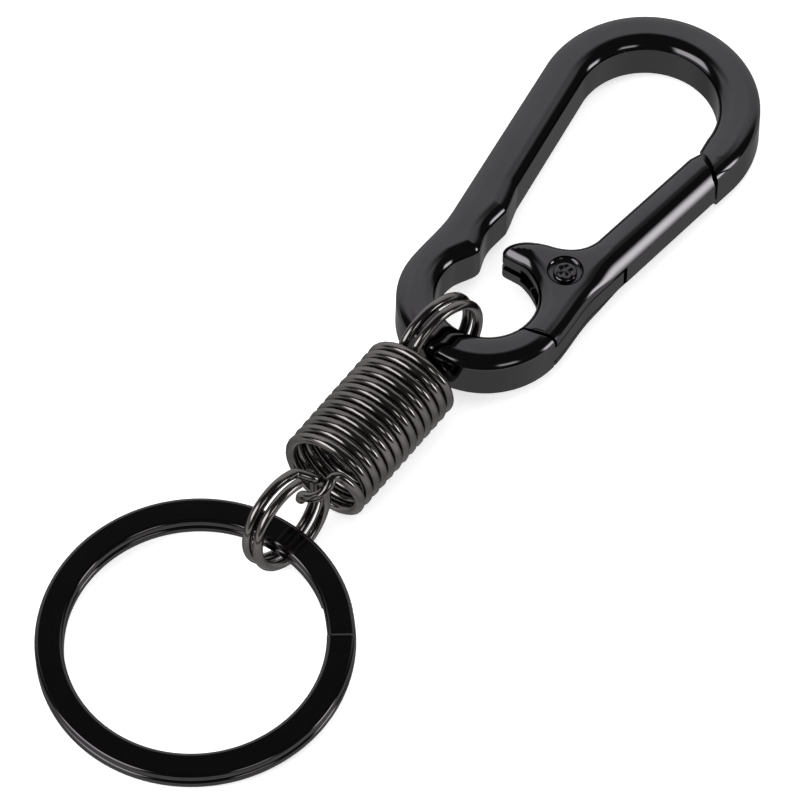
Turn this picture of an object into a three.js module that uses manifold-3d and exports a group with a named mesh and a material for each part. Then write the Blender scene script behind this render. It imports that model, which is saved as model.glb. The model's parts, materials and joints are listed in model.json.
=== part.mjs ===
// Carabiner keyring: a snap carabiner, two small split rings, a close-wound
// coil spring and a flat split key ring, linked as a chain.
//
// Millimetres. The keyring lies on a table with +Z up. +Y runs along the chain
// towards the carabiner's big end, and +X points to the gate side.
// Every piece is drawn around the centre of the carabiner's big end. The last
// lines move the whole group so that the origin is the bottom centre of its box.

import * as THREE from 'three';
import { mergeVertices } from 'three/addons/utils/BufferGeometryUtils.js';
import Module from 'manifold-3d';

const wasm = await Module();
wasm.setup();

const DEG = Math.PI / 180;

// ---------------------------------------------------------------- dimensions

// Carabiner plan: two round ends joined by straight sides that taper inwards.
const THICKNESS = 5.3;
const BIG_OUTER_R = 10.75;
const BIG_INNER_R = 6.8;
const TAPER = 7.1 * DEG;
const SMALL_OUTER_R = 8.4;
const SMALL_OUTER_Y = -27.6;
const EYE_R = 4.85;
const EYE_Y = -27.2;
const WAIST_Y = -20.8;
const EDGE_SIZE = 0.5;
const EDGE_DEPTH = 0.8;
const EDGE_STEPS = 2;

// Curves of the plan are given as two handles and an end point each.
const WAIST_HANDLES = [[7.95, -23.2], [SMALL_OUTER_R + 0.06, -25.4]];
const SPINE_CURVE = [[-7.95, -23.2], [-SMALL_OUTER_R, -25.0], [-SMALL_OUTER_R, SMALL_OUTER_Y]];
const EYE_END = -197 * DEG;

// Two low bumps on the inside of the spine, with a shallow scallop between them.
const SPINE_BUMPS = [
  [[-4.3, -25.0], [-3.9, -24.4], [-3.52, -23.6]],
  [[-3.8, -22.4], [-4.25, -21.4], [-4.2, -20.2]],
  [[-4.15, -19.2], [-4.05, -18.8], [-4.02, -18.0]],
  [[-4.2, -17.0], [-4.6, -15.8], [-4.8, -15.0]],
];

// The gate's finger, from the eye round its tip and back to the arm.
const FINGER_START = 52 * DEG;
const FINGER_UNDER = [[2.1, -22.8], [1.3, -22.35], [0.4, -22.35]];
const FINGER_TIP_START = [-1.1, -22.4];
const FINGER_TIP = [[-1.9, -22.4], [-1.9, -21.5], [-1.6, -20.9]];
const FINGER_BACK = [[-1.1, -20.0], [-0.2, -19.4], [0.6, -19.15]];
const FINGER_TO_ARM = [[2.9, -18.8], [4.4, -18.0], [4.95, -16.0]];
const ARM_TOP = [6.72, -2.9];
const NOSE_CORNER_SHIFT = [0.1, -0.06];

// The gate lies between two slanted seams. The nose seam is a line in plan. The
// leg seam is given by its ends, as angles on the small end and on the eye.
const NOSE_SEAM = [[7.0, -1.5], [10.9, -3.8]];
const NOSE_GAP_Y = 0.4;
const LEG_SEAM_BODY = { outer: -4 * DEG, inner: -23 * DEG };
const LEG_SEAM_GATE = { outer: -1.7 * DEG, inner: -19 * DEG };

// Pivot: a rivet through the gate's two cheeks and the body's tongue.
const PIVOT = [4.68, -21.03];
const LOBE_R = 1.6;
const TONGUE_THICKNESS = 2.8;
const TONGUE_TOP_Y = -17.0;
const TONGUE_NECK = 1.45;
const TONGUE_SHOULDER = { out: 0.2, drop: 1.6 };
const TONGUE_ROOT = [
  [7.9, -29.4], [5.9, -29.6], [5.75, -26.6], [4.75, -24.2], [3.95, -22.9],
];
const LOBE_FROM = 230 * DEG;
const LOBE_TO = 68 * DEG;
const SIDE_GAP = 0.3;
const END_GAP = 0.5;
const CHANNEL_OPEN_X = BIG_OUTER_R + 2;
const CHANNEL_NECK = { top: 1.1, bottom: 0.6 };
const CHANNEL_FROM = 100 * DEG;
const CHANNEL_TO = 205 * DEG;
const CHANNEL_INNER = [[2.9, -23.6], [3.2, -31]];
const RIVET_SHANK_R = 0.6;
const RIVET_HOLE_R = 0.88;
const RIVET_HEAD_R = 1.15;
const RIVET_HEAD_H = 0.3;
const RIVET_CROWN_R = 0.8;
const RIVET_HEAD_LIFT = 0.12;
const DISH_R = 1.75;
const DISH_FLOOR_R = 1.25;
const DISH_DEPTH = 0.45;
const DISH_PROUD = 0.01;

// Return spring, in a pocket under the finger.
const POCKET = { left: 0.55, top: -19.6, bottom: -23.4, thickness: 1.9 };
const LUG = { left: 1.35, right: 4.2, top: -22.3, bottom: -22.85, thickness: 1.4 };
const GATE_SPRING = { x: 2.05, bottom: -22.2, top: -19.85, r: 0.52, wire: 0.13, turns: 5 };
const FINGER_SLOT = { left: -3, top: -20.6, thickness: 0.7 };
const CUT_OVERLAP = 0.1;

// The carabiner leans a little: its bow lies on the wire of the upper ring.
const LEAN = 2.1 * DEG;

// Small split rings: two turns of round wire. Spin is the turn of the ring's
// axis from +X about +Z, and tip is the rise of that axis. Cut is where the ramp
// and the cut ends are, as an angle from the ring's lowest point towards +Y.
const RING_R = 4.7;
const RING_WIRE_R = 0.5;
const RING_PITCH = 1.32;
const RING_RAMP = 24 * DEG;
const RING_CLEARANCE = 8 * DEG;
const RING_AXIS_Z = RING_R + RING_WIRE_R;
const UPPER_RING = { x: -1.05, y: -33.85, spin: -10 * DEG, tip: 4 * DEG, cut: -20 * DEG };
const LOWER_RING = { x: -1.55, y: -58.25, spin: -8 * DEG, tip: 6 * DEG, cut: 140 * DEG };

// Coil spring: close-wound, with the last turn at each mouth drawn out and bent
// into a hook. Its axis is along y before the turn.
const COIL_R = 4.25;
const COIL_WIRE_R = 0.52;
const COIL_TURNS = 12;
const COIL_LEAD = 60 * DEG;
const COIL_HALF = 6.78;
const COIL_CENTRE = [-1.29, -45.2];
const COIL_TURN = -2 * DEG;
const COIL_AXIS_Z = COIL_R + COIL_WIRE_R;

// A hook leaves the last turn along the rim, as rows of an angle, a distance
// beyond the mouth and a radius. Its tail is rows of x, distance and z. It passes
// through the split ring there and ends in a short bent tip.
const MOUTH = 6.84;
const LOWER_HOOK = {
  rim: [[-30, 0.12, COIL_R], [0, 0.2, COIL_R], [25, 0.5, 4.2], [45, 0.85, 4.15], [55, 1.15, 4.15]],
  tail: [
    [2.15, 1.65, 3.55], [2.25, 2.4, 3.2], [2.05, 3.15, 2.65], [1.4, 3.6, 2.05],
    [0.6, 3.68, 1.5], [0, 3.55, 0.9], [-0.25, 3.4, 0],
  ],
};
const UPPER_HOOK = {
  rim: [[-30, 0.1, COIL_R], [0, 0.15, COIL_R], [25, 0.3, 4.2], [45, 0.5, 4.15]],
  tail: [
    [2.5, 0.85, 2.9], [2.2, 1.15, 2.1], [1.7, 1.35, 1.35], [1.1, 1.42, 0.85],
    [0.4, 1.42, 0.5], [-0.4, 1.4, 0.3], [-1.05, 1.35, 0], [-1.35, 1.3, -0.7],
  ],
};

// Key ring: two turns of flat strip. Its chain side lies on the lower ring.
const KEY_OUTER_R = 15;
const KEY_WIDTH = 2.7;
const KEY_LAYER = 0.98;
const KEY_LAYER_GAP = 0.2;
const KEY_EDGE = 0.22;
const KEY_TILT = 4.6 * DEG;
const KEY_X = -1.9;
const KEY_CHAIN_Y = -57.85;
const KEY_CUT = 43 * DEG;
const KEY_RAMP = 14 * DEG;
const KEY_CLEARANCE = 4 * DEG;

// How finely curves are drawn.
const ARC_STEP = 10 * DEG;
const BEZIER_STEPS = 5;
const DISC_SIDES = 20;
const WIRE_SIDES = 6;
const FINE_WIRE_SIDES = 4;
const FINE_WIRE_STEPS = 8;
const RING_STEPS = 26;
const KEY_STEPS = 34;
const COIL_STEPS = 17;
const HOOK_STEPS = 30;

// Vertices closer than this are one vertex.
const MERGE_DISTANCE = 1e-4;

// ----------------------------------------------------------------- materials

function metal(color, roughness) {
  return new THREE.MeshStandardMaterial({ color, roughness, metalness: 1 });
}

const blackNickel = () => metal(0x3a393b, 0.12);
const springSteel = () => metal(0x3d3835, 0.2);

// ------------------------------------------------------------ solid geometry

function toManifold(geometry) {
  const clean = geometry.clone();
  clean.deleteAttribute('normal');
  clean.deleteAttribute('uv');
  const merged = mergeVertices(clean, MERGE_DISTANCE);
  return new wasm.Manifold(new wasm.Mesh({
    numProp: 3,
    vertProperties: new Float32Array(merged.attributes.position.array),
    triVerts: new Uint32Array(merged.index.array),
  }));
}

function fromManifold(solid) {
  const mesh = solid.getMesh();
  const geometry = new THREE.BufferGeometry();
  const positions = new THREE.BufferAttribute(new Float32Array(mesh.vertProperties), mesh.numProp);
  geometry.setAttribute('position', positions);
  geometry.setIndex(new THREE.BufferAttribute(new Uint32Array(mesh.triVerts), 1));
  geometry.computeVertexNormals();
  return geometry;
}

function part(name, geometry, material) {
  const mesh = new THREE.Mesh(geometry, material);
  mesh.name = name;
  return mesh;
}

// A flat plate of the given outline, centred on z = 0.
function plate(shape, thickness) {
  const geometry = new THREE.ExtrudeGeometry(shape, {
    depth: thickness,
    bevelEnabled: false,
    curveSegments: BEZIER_STEPS,
  });
  return geometry.translate(0, 0, -thickness / 2);
}

// A plate as thick as the carabiner, with its edges eased inside the outline.
function easedPlate(shape) {
  const geometry = new THREE.ExtrudeGeometry(shape, {
    depth: THICKNESS - 2 * EDGE_DEPTH,
    bevelThickness: EDGE_DEPTH,
    bevelSize: EDGE_SIZE,
    bevelOffset: -EDGE_SIZE,
    bevelSegments: EDGE_STEPS,
    curveSegments: BEZIER_STEPS,
  });
  return geometry.translate(0, 0, EDGE_DEPTH - THICKNESS / 2);
}

// A disc or a cone frustum on the z axis at (x, y), from z0 to z1.
function disc(x, y, r0, r1, z0, z1) {
  const profile = [[0, z0], [r0, z0], [r1, z1], [0, z1]];
  const points = profile.map(([r, z]) => new THREE.Vector2(r, z));
  return new THREE.LatheGeometry(points, DISC_SIDES).rotateX(Math.PI / 2).translate(x, y, 0);
}

function wireSection(radius) {
  const shape = new THREE.Shape();
  shape.absarc(0, 0, radius, 0, 2 * Math.PI, false);
  return shape;
}

// Sweeps a section along a curve in a given number of steps.
function sweep(shape, path, steps, sides) {
  path.arcLengthDivisions = 4 * steps;
  return new THREE.ExtrudeGeometry(shape, {
    extrudePath: path,
    steps,
    curveSegments: sides / 2,
  });
}

// ------------------------------------------------------- carabiner outlines

const tangentX = BIG_OUTER_R * Math.cos(TAPER);
const tangentY = -BIG_OUTER_R * Math.sin(TAPER);
const sideX = (y) => tangentX + Math.tan(TAPER) * (y - tangentY);

// The point where the nose seam, moved down by a gap, meets the straight side.
function seamOnSide(gap) {
  const [[ax, ay], [bx, by]] = NOSE_SEAM;
  const slope = (by - ay) / (bx - ax);
  const y = (ay - gap + slope * (sideX(0) - ax)) / (1 - slope * Math.tan(TAPER));
  return [sideX(y), y];
}

// Adds an arc to a shape in even steps, whatever its length.
function arc(shape, x, y, r, from, to) {
  const steps = Math.ceil(Math.abs(to - from) / ARC_STEP);
  for (let i = 0; i <= steps; i += 1) {
    const angle = from + (to - from) * (i / steps);
    shape.lineTo(x + r * Math.cos(angle), y + r * Math.sin(angle));
  }
}

function curve(shape, handles) {
  shape.bezierCurveTo(...handles.flat());
}

// Draws the gate side of the outer edge, from the waist to the leg seam.
function waist(shape) {
  const endX = SMALL_OUTER_R * Math.cos(LEG_SEAM_GATE.outer);
  const endY = SMALL_OUTER_Y + SMALL_OUTER_R * Math.sin(LEG_SEAM_GATE.outer);
  shape.lineTo(sideX(WAIST_Y), WAIST_Y);
  curve(shape, [...WAIST_HANDLES, [endX, endY]]);
}

// The fixed body: nose, big end, spine and bow, as one C.
function bodyOutline() {
  const shape = new THREE.Shape();
  shape.moveTo(...seamOnSide(0));
  arc(shape, 0, 0, BIG_OUTER_R, -TAPER, Math.PI + TAPER);
  shape.lineTo(-sideX(WAIST_Y), WAIST_Y);
  curve(shape, SPINE_CURVE);
  arc(shape, 0, SMALL_OUTER_Y, SMALL_OUTER_R, Math.PI + ARC_STEP, 2 * Math.PI + LEG_SEAM_BODY.outer);
  arc(shape, 0, EYE_Y, EYE_R, LEG_SEAM_BODY.inner, EYE_END);
  SPINE_BUMPS.forEach((handles) => curve(shape, handles));
  arc(shape, 0, 0, BIG_INNER_R, Math.PI + TAPER, 0);
  shape.lineTo(...NOSE_SEAM[0]);
  return shape;
}

// The gate: a long arm from the nose, a finger that points at the spine, and
// a leg that ends on the bow.
function gateOutline() {
  const shape = new THREE.Shape();
  shape.moveTo(...seamOnSide(NOSE_GAP_Y));
  waist(shape);
  arc(shape, 0, EYE_Y, EYE_R, LEG_SEAM_GATE.inner, FINGER_START);
  curve(shape, FINGER_UNDER);
  shape.lineTo(...FINGER_TIP_START);
  curve(shape, FINGER_TIP);
  curve(shape, FINGER_BACK);
  curve(shape, FINGER_TO_ARM);
  shape.lineTo(...ARM_TOP);
  const [cornerX, cornerY] = NOSE_SEAM[0];
  shape.lineTo(cornerX + NOSE_CORNER_SHIFT[0], cornerY + NOSE_CORNER_SHIFT[1] - NOSE_GAP_Y);
  return shape;
}

// The tongue fills the gate's channel and shows on the outer edge.
function tongueOutline() {
  const topLeft = PIVOT[0] + TONGUE_NECK;
  const shape = new THREE.Shape();
  shape.moveTo(sideX(TONGUE_TOP_Y), TONGUE_TOP_Y);
  waist(shape);
  TONGUE_ROOT.forEach((point) => shape.lineTo(...point));
  arc(shape, ...PIVOT, LOBE_R, LOBE_FROM, LOBE_TO);
  shape.lineTo(topLeft, TONGUE_TOP_Y - TONGUE_SHOULDER.drop);
  shape.lineTo(topLeft + TONGUE_SHOULDER.out, TONGUE_TOP_Y);
  return shape;
}

// Room for the tongue: open on the outer side and along the leg.
function channelOutline() {
  const room = LOBE_R + SIDE_GAP;
  const shape = new THREE.Shape();
  const top = TONGUE_TOP_Y + END_GAP;
  shape.moveTo(CHANNEL_OPEN_X, top);
  shape.lineTo(PIVOT[0] + CHANNEL_NECK.top, top);
  shape.lineTo(PIVOT[0] + CHANNEL_NECK.bottom, PIVOT[1] + room);
  arc(shape, ...PIVOT, room, CHANNEL_FROM, CHANNEL_TO);
  CHANNEL_INNER.forEach((point) => shape.lineTo(...point));
  shape.lineTo(CHANNEL_OPEN_X, CHANNEL_INNER[1][1]);
  return shape;
}

function box(x0, x1, y0, y1, thickness) {
  const geometry = new THREE.BoxGeometry(x1 - x0, y1 - y0, thickness);
  return geometry.translate((x0 + x1) / 2, (y0 + y1) / 2, 0);
}

// ------------------------------------------------------------ carabiner parts

function carabinerBody() {
  const tongue = toManifold(plate(tongueOutline(), TONGUE_THICKNESS));
  const lug = toManifold(box(LUG.left, LUG.right, LUG.bottom, LUG.top, LUG.thickness));
  const hole = toManifold(disc(...PIVOT, RIVET_HOLE_R, RIVET_HOLE_R, -THICKNESS, THICKNESS));
  const solid = toManifold(easedPlate(bodyOutline())).add(tongue).add(lug).subtract(hole);
  return part('carabiner_body', fromManifold(solid), blackNickel());
}

function gate() {
  const face = THICKNESS / 2;
  const cuts = [
    plate(channelOutline(), TONGUE_THICKNESS + 2 * SIDE_GAP),
    box(POCKET.left, PIVOT[0], POCKET.bottom, POCKET.top, POCKET.thickness),
    box(FINGER_SLOT.left, POCKET.left + CUT_OVERLAP, POCKET.bottom, FINGER_SLOT.top,
      FINGER_SLOT.thickness),
    disc(...PIVOT, RIVET_HOLE_R, RIVET_HOLE_R, -THICKNESS, THICKNESS),
    disc(...PIVOT, DISH_FLOOR_R, DISH_R, face - DISH_DEPTH, face + DISH_PROUD),
    disc(...PIVOT, DISH_R, DISH_FLOOR_R, -face - DISH_PROUD, DISH_DEPTH - face),
  ];
  let solid = toManifold(easedPlate(gateOutline()));
  for (const cut of cuts) {
    solid = solid.subtract(toManifold(cut));
  }
  return part('gate', fromManifold(solid), blackNickel());
}

// A shank with a low head at each end, seated in the gate's dishes.
function gateRivet() {
  const seat = THICKNESS / 2 - DISH_DEPTH + RIVET_HEAD_LIFT;
  const top = seat + RIVET_HEAD_H;
  const shoulder = seat + RIVET_HEAD_H / 3;
  const upper = [
    [RIVET_SHANK_R, seat], [RIVET_HEAD_R, seat], [RIVET_HEAD_R, shoulder],
    [RIVET_CROWN_R, top], [0, top],
  ];
  const lower = upper.map(([r, z]) => [r, -z]).reverse();
  const points = [...lower, ...upper].map(([r, z]) => new THREE.Vector2(r, z));
  const geometry = new THREE.LatheGeometry(points, DISC_SIDES).rotateX(Math.PI / 2);
  const mesh = part('gate_rivet', geometry, blackNickel());
  mesh.position.set(PIVOT[0], PIVOT[1], 0);
  return mesh;
}

// A small compression spring that pushes the finger away from the tongue.
class SpringCurve extends THREE.Curve {
  getPoint(t, target = new THREE.Vector3()) {
    const angle = 2 * Math.PI * GATE_SPRING.turns * t;
    const length = GATE_SPRING.top - GATE_SPRING.bottom - 2 * GATE_SPRING.wire;
    return target.set(
      GATE_SPRING.r * Math.cos(angle),
      GATE_SPRING.bottom + GATE_SPRING.wire + length * t,
      GATE_SPRING.r * Math.sin(angle),
    );
  }
}

function gateSpring() {
  const steps = FINE_WIRE_STEPS * GATE_SPRING.turns;
  const section = wireSection(GATE_SPRING.wire);
  const geometry = sweep(section, new SpringCurve(), steps, FINE_WIRE_SIDES);
  const mesh = part('gate_spring', geometry, springSteel());
  mesh.position.x = GATE_SPRING.x;
  return mesh;
}

function carabiner() {
  const group = new THREE.Group();
  group.add(carabinerBody(), gate(), gateRivet(), gateSpring());
  group.rotation.x = -LEAN;
  const lift = THICKNESS / 2 * Math.cos(LEAN) + BIG_OUTER_R * Math.sin(LEAN);
  group.position.z = lift - EDGE_SIZE * Math.sin(LEAN);
  return group;
}

// ---------------------------------------------------------------- split rings

// Two turns around z. The first lies above z = 0 and the second below. They
// are joined by one short ramp, which the two cut ends stop short of. The hand
// is 1 where the turns run anticlockwise as they go down, and -1 otherwise.
class SplitRingCurve extends THREE.Curve {
  constructor(radius, pitch, ramp, clearance, hand) {
    super();
    Object.assign(this, { radius, pitch, ramp, clearance, hand });
  }

  getPoint(t, target = new THREE.Vector3()) {
    const turn = 2 * Math.PI;
    const start = this.ramp / 2 + this.clearance;
    const angle = start + (2 * turn - 2 * start) * t;
    const along = THREE.MathUtils.smoothstep(angle, turn - this.ramp / 2, turn + this.ramp / 2);
    return target.set(
      this.radius * Math.cos(angle),
      this.hand * this.radius * Math.sin(angle),
      this.pitch * (0.5 - along),
    );
  }
}

function smallRing(name, place) {
  const path = new SplitRingCurve(RING_R, RING_PITCH, RING_RAMP, RING_CLEARANCE, 1);
  const geometry = sweep(wireSection(RING_WIRE_R), path, 2 * RING_STEPS, WIRE_SIDES);
  geometry.rotateZ(place.cut).rotateY(Math.PI / 2 - place.tip).rotateZ(place.spin);
  const mesh = part(name, geometry, springSteel());
  mesh.position.set(place.x, place.y, RING_AXIS_Z);
  return mesh;
}

// A strip section with eased edges. Its first axis is the layer's thickness.
function stripSection() {
  const x = KEY_LAYER / 2;
  const y = KEY_WIDTH / 2;
  const e = KEY_EDGE;
  const corners = [
    [x, y - e], [x - e, y], [e - x, y], [-x, y - e],
    [-x, e - y], [e - x, -y], [x - e, -y], [x, e - y],
  ];
  return new THREE.Shape(corners.map(([px, py]) => new THREE.Vector2(px, py)));
}

function keyRing() {
  const middleR = KEY_OUTER_R - KEY_WIDTH / 2;
  const pitch = KEY_LAYER + KEY_LAYER_GAP;
  const path = new SplitRingCurve(middleR, pitch, KEY_RAMP, KEY_CLEARANCE, -1);
  const geometry = sweep(stripSection(), path, 2 * KEY_STEPS, 2).rotateZ(KEY_CUT);
  const mesh = part('key_ring', geometry, blackNickel());
  mesh.rotation.x = KEY_TILT;
  const halfThick = KEY_LAYER + KEY_LAYER_GAP / 2;
  const reach = KEY_OUTER_R * Math.cos(KEY_TILT);
  const centreZ = halfThick * Math.cos(KEY_TILT) + KEY_OUTER_R * Math.sin(KEY_TILT);
  mesh.position.set(KEY_X, KEY_CHAIN_Y - reach, centreZ);
  return mesh;
}

// ---------------------------------------------------------------- coil spring

// A hook's centre line at the lower mouth, from the rim to the tip.
function hookPoints({ rim, tail }) {
  const onRim = rim.map(([angle, out, r]) => (
    [r * Math.cos(angle * DEG), -MOUTH - out, r * Math.sin(angle * DEG)]));
  return [...onRim, ...tail.map(([x, out, z]) => [x, -MOUTH - out, z])];
}

// Points of the coil's centre line, with the coil's axis along y. The upper hook
// is drawn at the lower mouth and turned half round the x axis.
function coilPoints() {
  const upper = hookPoints(UPPER_HOOK).map(([x, y, z]) => [x, -y, -z]).reverse();
  const turns = [];
  const steps = COIL_TURNS * COIL_STEPS;
  for (let i = 0; i <= steps; i += 1) {
    const t = i / steps;
    const angle = COIL_LEAD + (2 * Math.PI * COIL_TURNS - 2 * COIL_LEAD) * t;
    turns.push([COIL_R * Math.cos(angle), COIL_HALF * (1 - 2 * t), COIL_R * Math.sin(angle)]);
  }
  const points = [...upper, ...turns, ...hookPoints(LOWER_HOOK)];
  return points.map(([x, y, z]) => new THREE.Vector3(x, y, z));
}

function coilSpring() {
  const path = new THREE.CatmullRomCurve3(coilPoints(), false, 'centripetal');
  const steps = COIL_TURNS * COIL_STEPS + HOOK_STEPS;
  const geometry = sweep(wireSection(COIL_WIRE_R), path, steps, WIRE_SIDES);
  const mesh = part('coil_spring', geometry, springSteel());
  mesh.rotation.z = COIL_TURN;
  mesh.position.set(COIL_CENTRE[0], COIL_CENTRE[1], COIL_AXIS_Z);
  return mesh;
}

// ------------------------------------------------------------------- assembly

const chain = new THREE.Group();
chain.add(
  carabiner(),
  smallRing('upper_split_ring', UPPER_RING),
  coilSpring(),
  smallRing('lower_split_ring', LOWER_RING),
  keyRing(),
);

const keyring = new THREE.Group();
keyring.add(chain);
keyring.updateMatrixWorld(true);
const bounds = new THREE.Box3().setFromObject(keyring, true);
const middle = bounds.getCenter(new THREE.Vector3());
chain.position.set(-middle.x, -middle.y, -bounds.min.z);

export default keyring;
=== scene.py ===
import json
import math

import bpy
import numpy as np
from mathutils import Matrix, Vector
from mathutils.geometry import delaunay_2d_cdt
from mathutils.kdtree import KDTree


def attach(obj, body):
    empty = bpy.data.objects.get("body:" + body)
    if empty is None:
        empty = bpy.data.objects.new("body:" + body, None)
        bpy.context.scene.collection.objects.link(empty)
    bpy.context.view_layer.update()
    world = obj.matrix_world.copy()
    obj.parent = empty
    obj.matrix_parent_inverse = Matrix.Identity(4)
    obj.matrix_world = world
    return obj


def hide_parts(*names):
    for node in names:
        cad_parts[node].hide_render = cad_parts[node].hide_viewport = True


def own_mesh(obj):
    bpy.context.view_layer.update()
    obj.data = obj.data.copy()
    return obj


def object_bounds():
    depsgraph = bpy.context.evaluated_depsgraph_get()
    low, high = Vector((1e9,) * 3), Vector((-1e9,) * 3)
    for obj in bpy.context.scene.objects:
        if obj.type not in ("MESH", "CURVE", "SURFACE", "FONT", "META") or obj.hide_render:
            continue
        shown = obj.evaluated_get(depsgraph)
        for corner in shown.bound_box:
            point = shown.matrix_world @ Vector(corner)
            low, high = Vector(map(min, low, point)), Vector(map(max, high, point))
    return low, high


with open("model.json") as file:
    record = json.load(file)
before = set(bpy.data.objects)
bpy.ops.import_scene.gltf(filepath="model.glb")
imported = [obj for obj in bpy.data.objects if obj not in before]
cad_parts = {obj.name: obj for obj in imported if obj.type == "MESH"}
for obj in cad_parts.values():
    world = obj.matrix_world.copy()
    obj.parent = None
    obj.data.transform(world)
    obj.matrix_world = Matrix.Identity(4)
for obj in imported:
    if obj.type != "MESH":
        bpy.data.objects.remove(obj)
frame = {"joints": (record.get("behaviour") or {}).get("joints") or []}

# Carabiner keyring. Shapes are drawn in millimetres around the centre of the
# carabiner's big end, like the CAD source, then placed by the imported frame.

cad_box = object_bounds()

MM = 0.001
DEG = math.pi / 180

# ------------------------------------------------------------------ placement

joints = {j["name"]: j for j in frame["joints"]}
PIVOT = (4.68, -21.03)
THICKNESS = 5.3
HALF = THICKNESS / 2

axis = Vector(joints["gate_open"]["axis"])
LEAN = math.atan2(axis.y, axis.z)
lean = Matrix.Rotation(-LEAN, 4, "X")
car_origin = Vector(joints["gate_open"]["pos_m"]) / MM - lean @ Vector((*PIVOT, 0))
lift = HALF * math.cos(LEAN) + (10.75 - 0.5) * math.sin(LEAN)
OFFSET = Vector((car_origin.x, car_origin.y, car_origin.z - lift))
TO_ROW = Matrix.Scale(MM, 4) @ Matrix.Translation(OFFSET)
CARABINER = Matrix.Scale(MM, 4) @ Matrix.Translation(car_origin) @ lean

# --------------------------------------------------------------------- curves


def arc(cx, cy, r, a0, a1, step=0.22):
    """Points of an arc, angles in degrees."""
    n = max(2, int(abs(a1 - a0) * DEG * r / step))
    angles = np.linspace(a0, a1, n + 1) * DEG
    return np.column_stack([cx + r * np.cos(angles), cy + r * np.sin(angles)])


def bezier(p0, p1, p2, p3, step=0.22):
    p0, p1, p2, p3 = (np.array(p, float) for p in (p0, p1, p2, p3))
    span = np.linalg.norm(p1 - p0) + np.linalg.norm(p2 - p1) + np.linalg.norm(p3 - p2)
    t = np.linspace(0, 1, max(3, int(span / step)) + 1)[:, None]
    return (1 - t) ** 3 * p0 + 3 * (1 - t) ** 2 * t * p1 + 3 * (1 - t) * t**2 * p2 + t**3 * p3


def line(p0, p1, step=0.3):
    n = max(1, int(math.dist(p0, p1) / step))
    return np.linspace(np.array(p0, float), np.array(p1, float), n + 1)


def chain_points(*pieces):
    """Joins runs of points end to end, dropping repeated points."""
    out = []
    for run in pieces:
        for p in run:
            if not out or math.dist(out[-1], p) > 1e-3:
                out.append((float(p[0]), float(p[1])))
    return out


TAPER = 7.1
BIG_R = 10.75
BIG_INNER_R = 6.8
SMALL_R = 8.4
SMALL_Y = -27.6
EYE_R = 4.85
EYE_Y = -27.2
WAIST_Y = -20.8


def side_x(y):
    """The straight side's x at a height y."""
    t = TAPER * DEG
    return BIG_R * math.cos(t) + math.tan(t) * (y + BIG_R * math.sin(t))


def polar(cx, cy, r, a):
    return (cx + r * math.cos(a * DEG), cy + r * math.sin(a * DEG))


# ----------------------------------------------------------------- mesh tools


def new_object(name, verts, faces):
    mesh = bpy.data.meshes.new(name)
    mesh.from_pydata([tuple(v) for v in verts], [], [tuple(f) for f in faces])
    mesh.validate()
    mesh.update()
    obj = bpy.data.objects.new(name, mesh)
    bpy.context.scene.collection.objects.link(obj)
    return obj


def smooth(obj):
    obj.data.polygons.foreach_set("use_smooth", [True] * len(obj.data.polygons))


def smooth_by_angle(obj, degrees):
    """Smooth shading with sharp edges where faces meet at more than an angle."""
    smooth(obj)
    obj.data.set_sharp_from_angle(angle=degrees * DEG)


def frames_along(points, closed=False):
    """Tangents and turning-free normals along a run of 3-D points."""
    p = np.array(points, float)
    t = np.gradient(p, axis=0)
    if closed:
        t = np.roll(p, -1, 0) - np.roll(p, 1, 0)
    t /= np.linalg.norm(t, axis=1)[:, None]
    n = np.zeros_like(p)
    helper = np.array([0, 0, 1.0]) if abs(t[0, 2]) < 0.9 else np.array([1.0, 0, 0])
    n[0] = np.cross(t[0], helper)
    n[0] /= np.linalg.norm(n[0])
    for i in range(1, len(p)):
        v = n[i - 1] - t[i] * np.dot(n[i - 1], t[i])
        n[i] = v / np.linalg.norm(v)
    return p, t, n, np.cross(t, n)


def tube(name, points, radius, sides, bevel=0.0):
    """A round wire with flat, slightly chamfered cut ends."""
    p, t, n, b = frames_along(points)
    rings = [(p[0], n[0], b[0], radius - bevel)]
    rings += [(p[0] + t[0] * bevel, n[0], b[0], radius)]
    rings += [(p[i], n[i], b[i], radius) for i in range(1, len(p) - 1)]
    rings += [(p[-1] - t[-1] * bevel, n[-1], b[-1], radius), (p[-1], n[-1], b[-1], radius - bevel)]
    a = np.arange(sides) * 2 * math.pi / sides
    verts = [c + r * (math.cos(x) * u + math.sin(x) * v) for c, u, v, r in rings for x in a]
    faces = []
    for i in range(len(rings) - 1):
        for k in range(sides):
            j = (k + 1) % sides
            faces.append((i * sides + k, i * sides + j, (i + 1) * sides + j, (i + 1) * sides + k))
    faces.append(tuple(range(sides))[::-1])
    last = (len(rings) - 1) * sides
    faces.append(tuple(range(last, last + sides)))
    obj = new_object(name, verts, faces)
    smooth_by_angle(obj, 30)
    return obj


# ------------------------------------------------------------ rounded plates


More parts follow.
